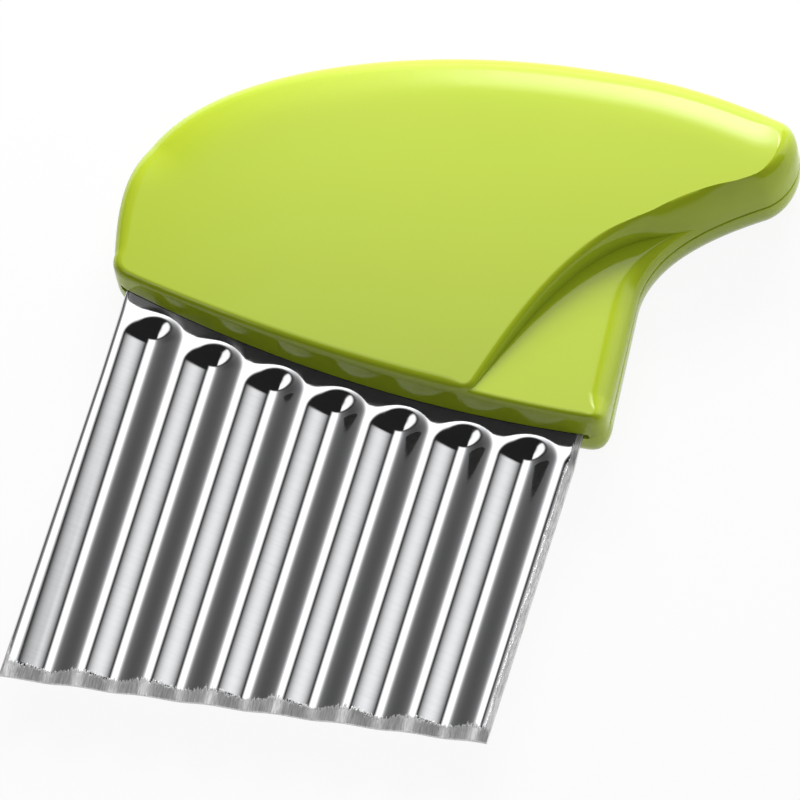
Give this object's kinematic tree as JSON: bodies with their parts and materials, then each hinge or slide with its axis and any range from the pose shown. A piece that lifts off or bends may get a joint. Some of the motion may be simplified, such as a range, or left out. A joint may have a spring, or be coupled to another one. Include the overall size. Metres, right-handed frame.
{
  "type": "crinkle cutter",
  "caption": "Hand-held crinkle cutter: a wide corrugated steel blade with a ground edge, held in a fin-shaped two-shell plastic handle with a finger hook.",
  "frame": {"origin": "centre of the part's box in plan, on the flat back of the handle", "axes": "+X along the cutting edge towards the handle's tip, +Y from the cutting edge to the handle, +Z out of the front face"},
  "size_m": [0.0966, 0.1182, 0.012],
  "materials": {
    "handle_plastic": "gloss",
    "blade_steel": "polished",
    "screw_steel": "zinc plated"
  },
  "bodies": {
    "root": {"front_shell": "handle_plastic", "rear_shell": "handle_plastic", "blade": "blade_steel", "screw_left": "screw_steel", "screw_right": "screw_steel", "screw_crown": "screw_steel"}
  },
  "joints": []
}
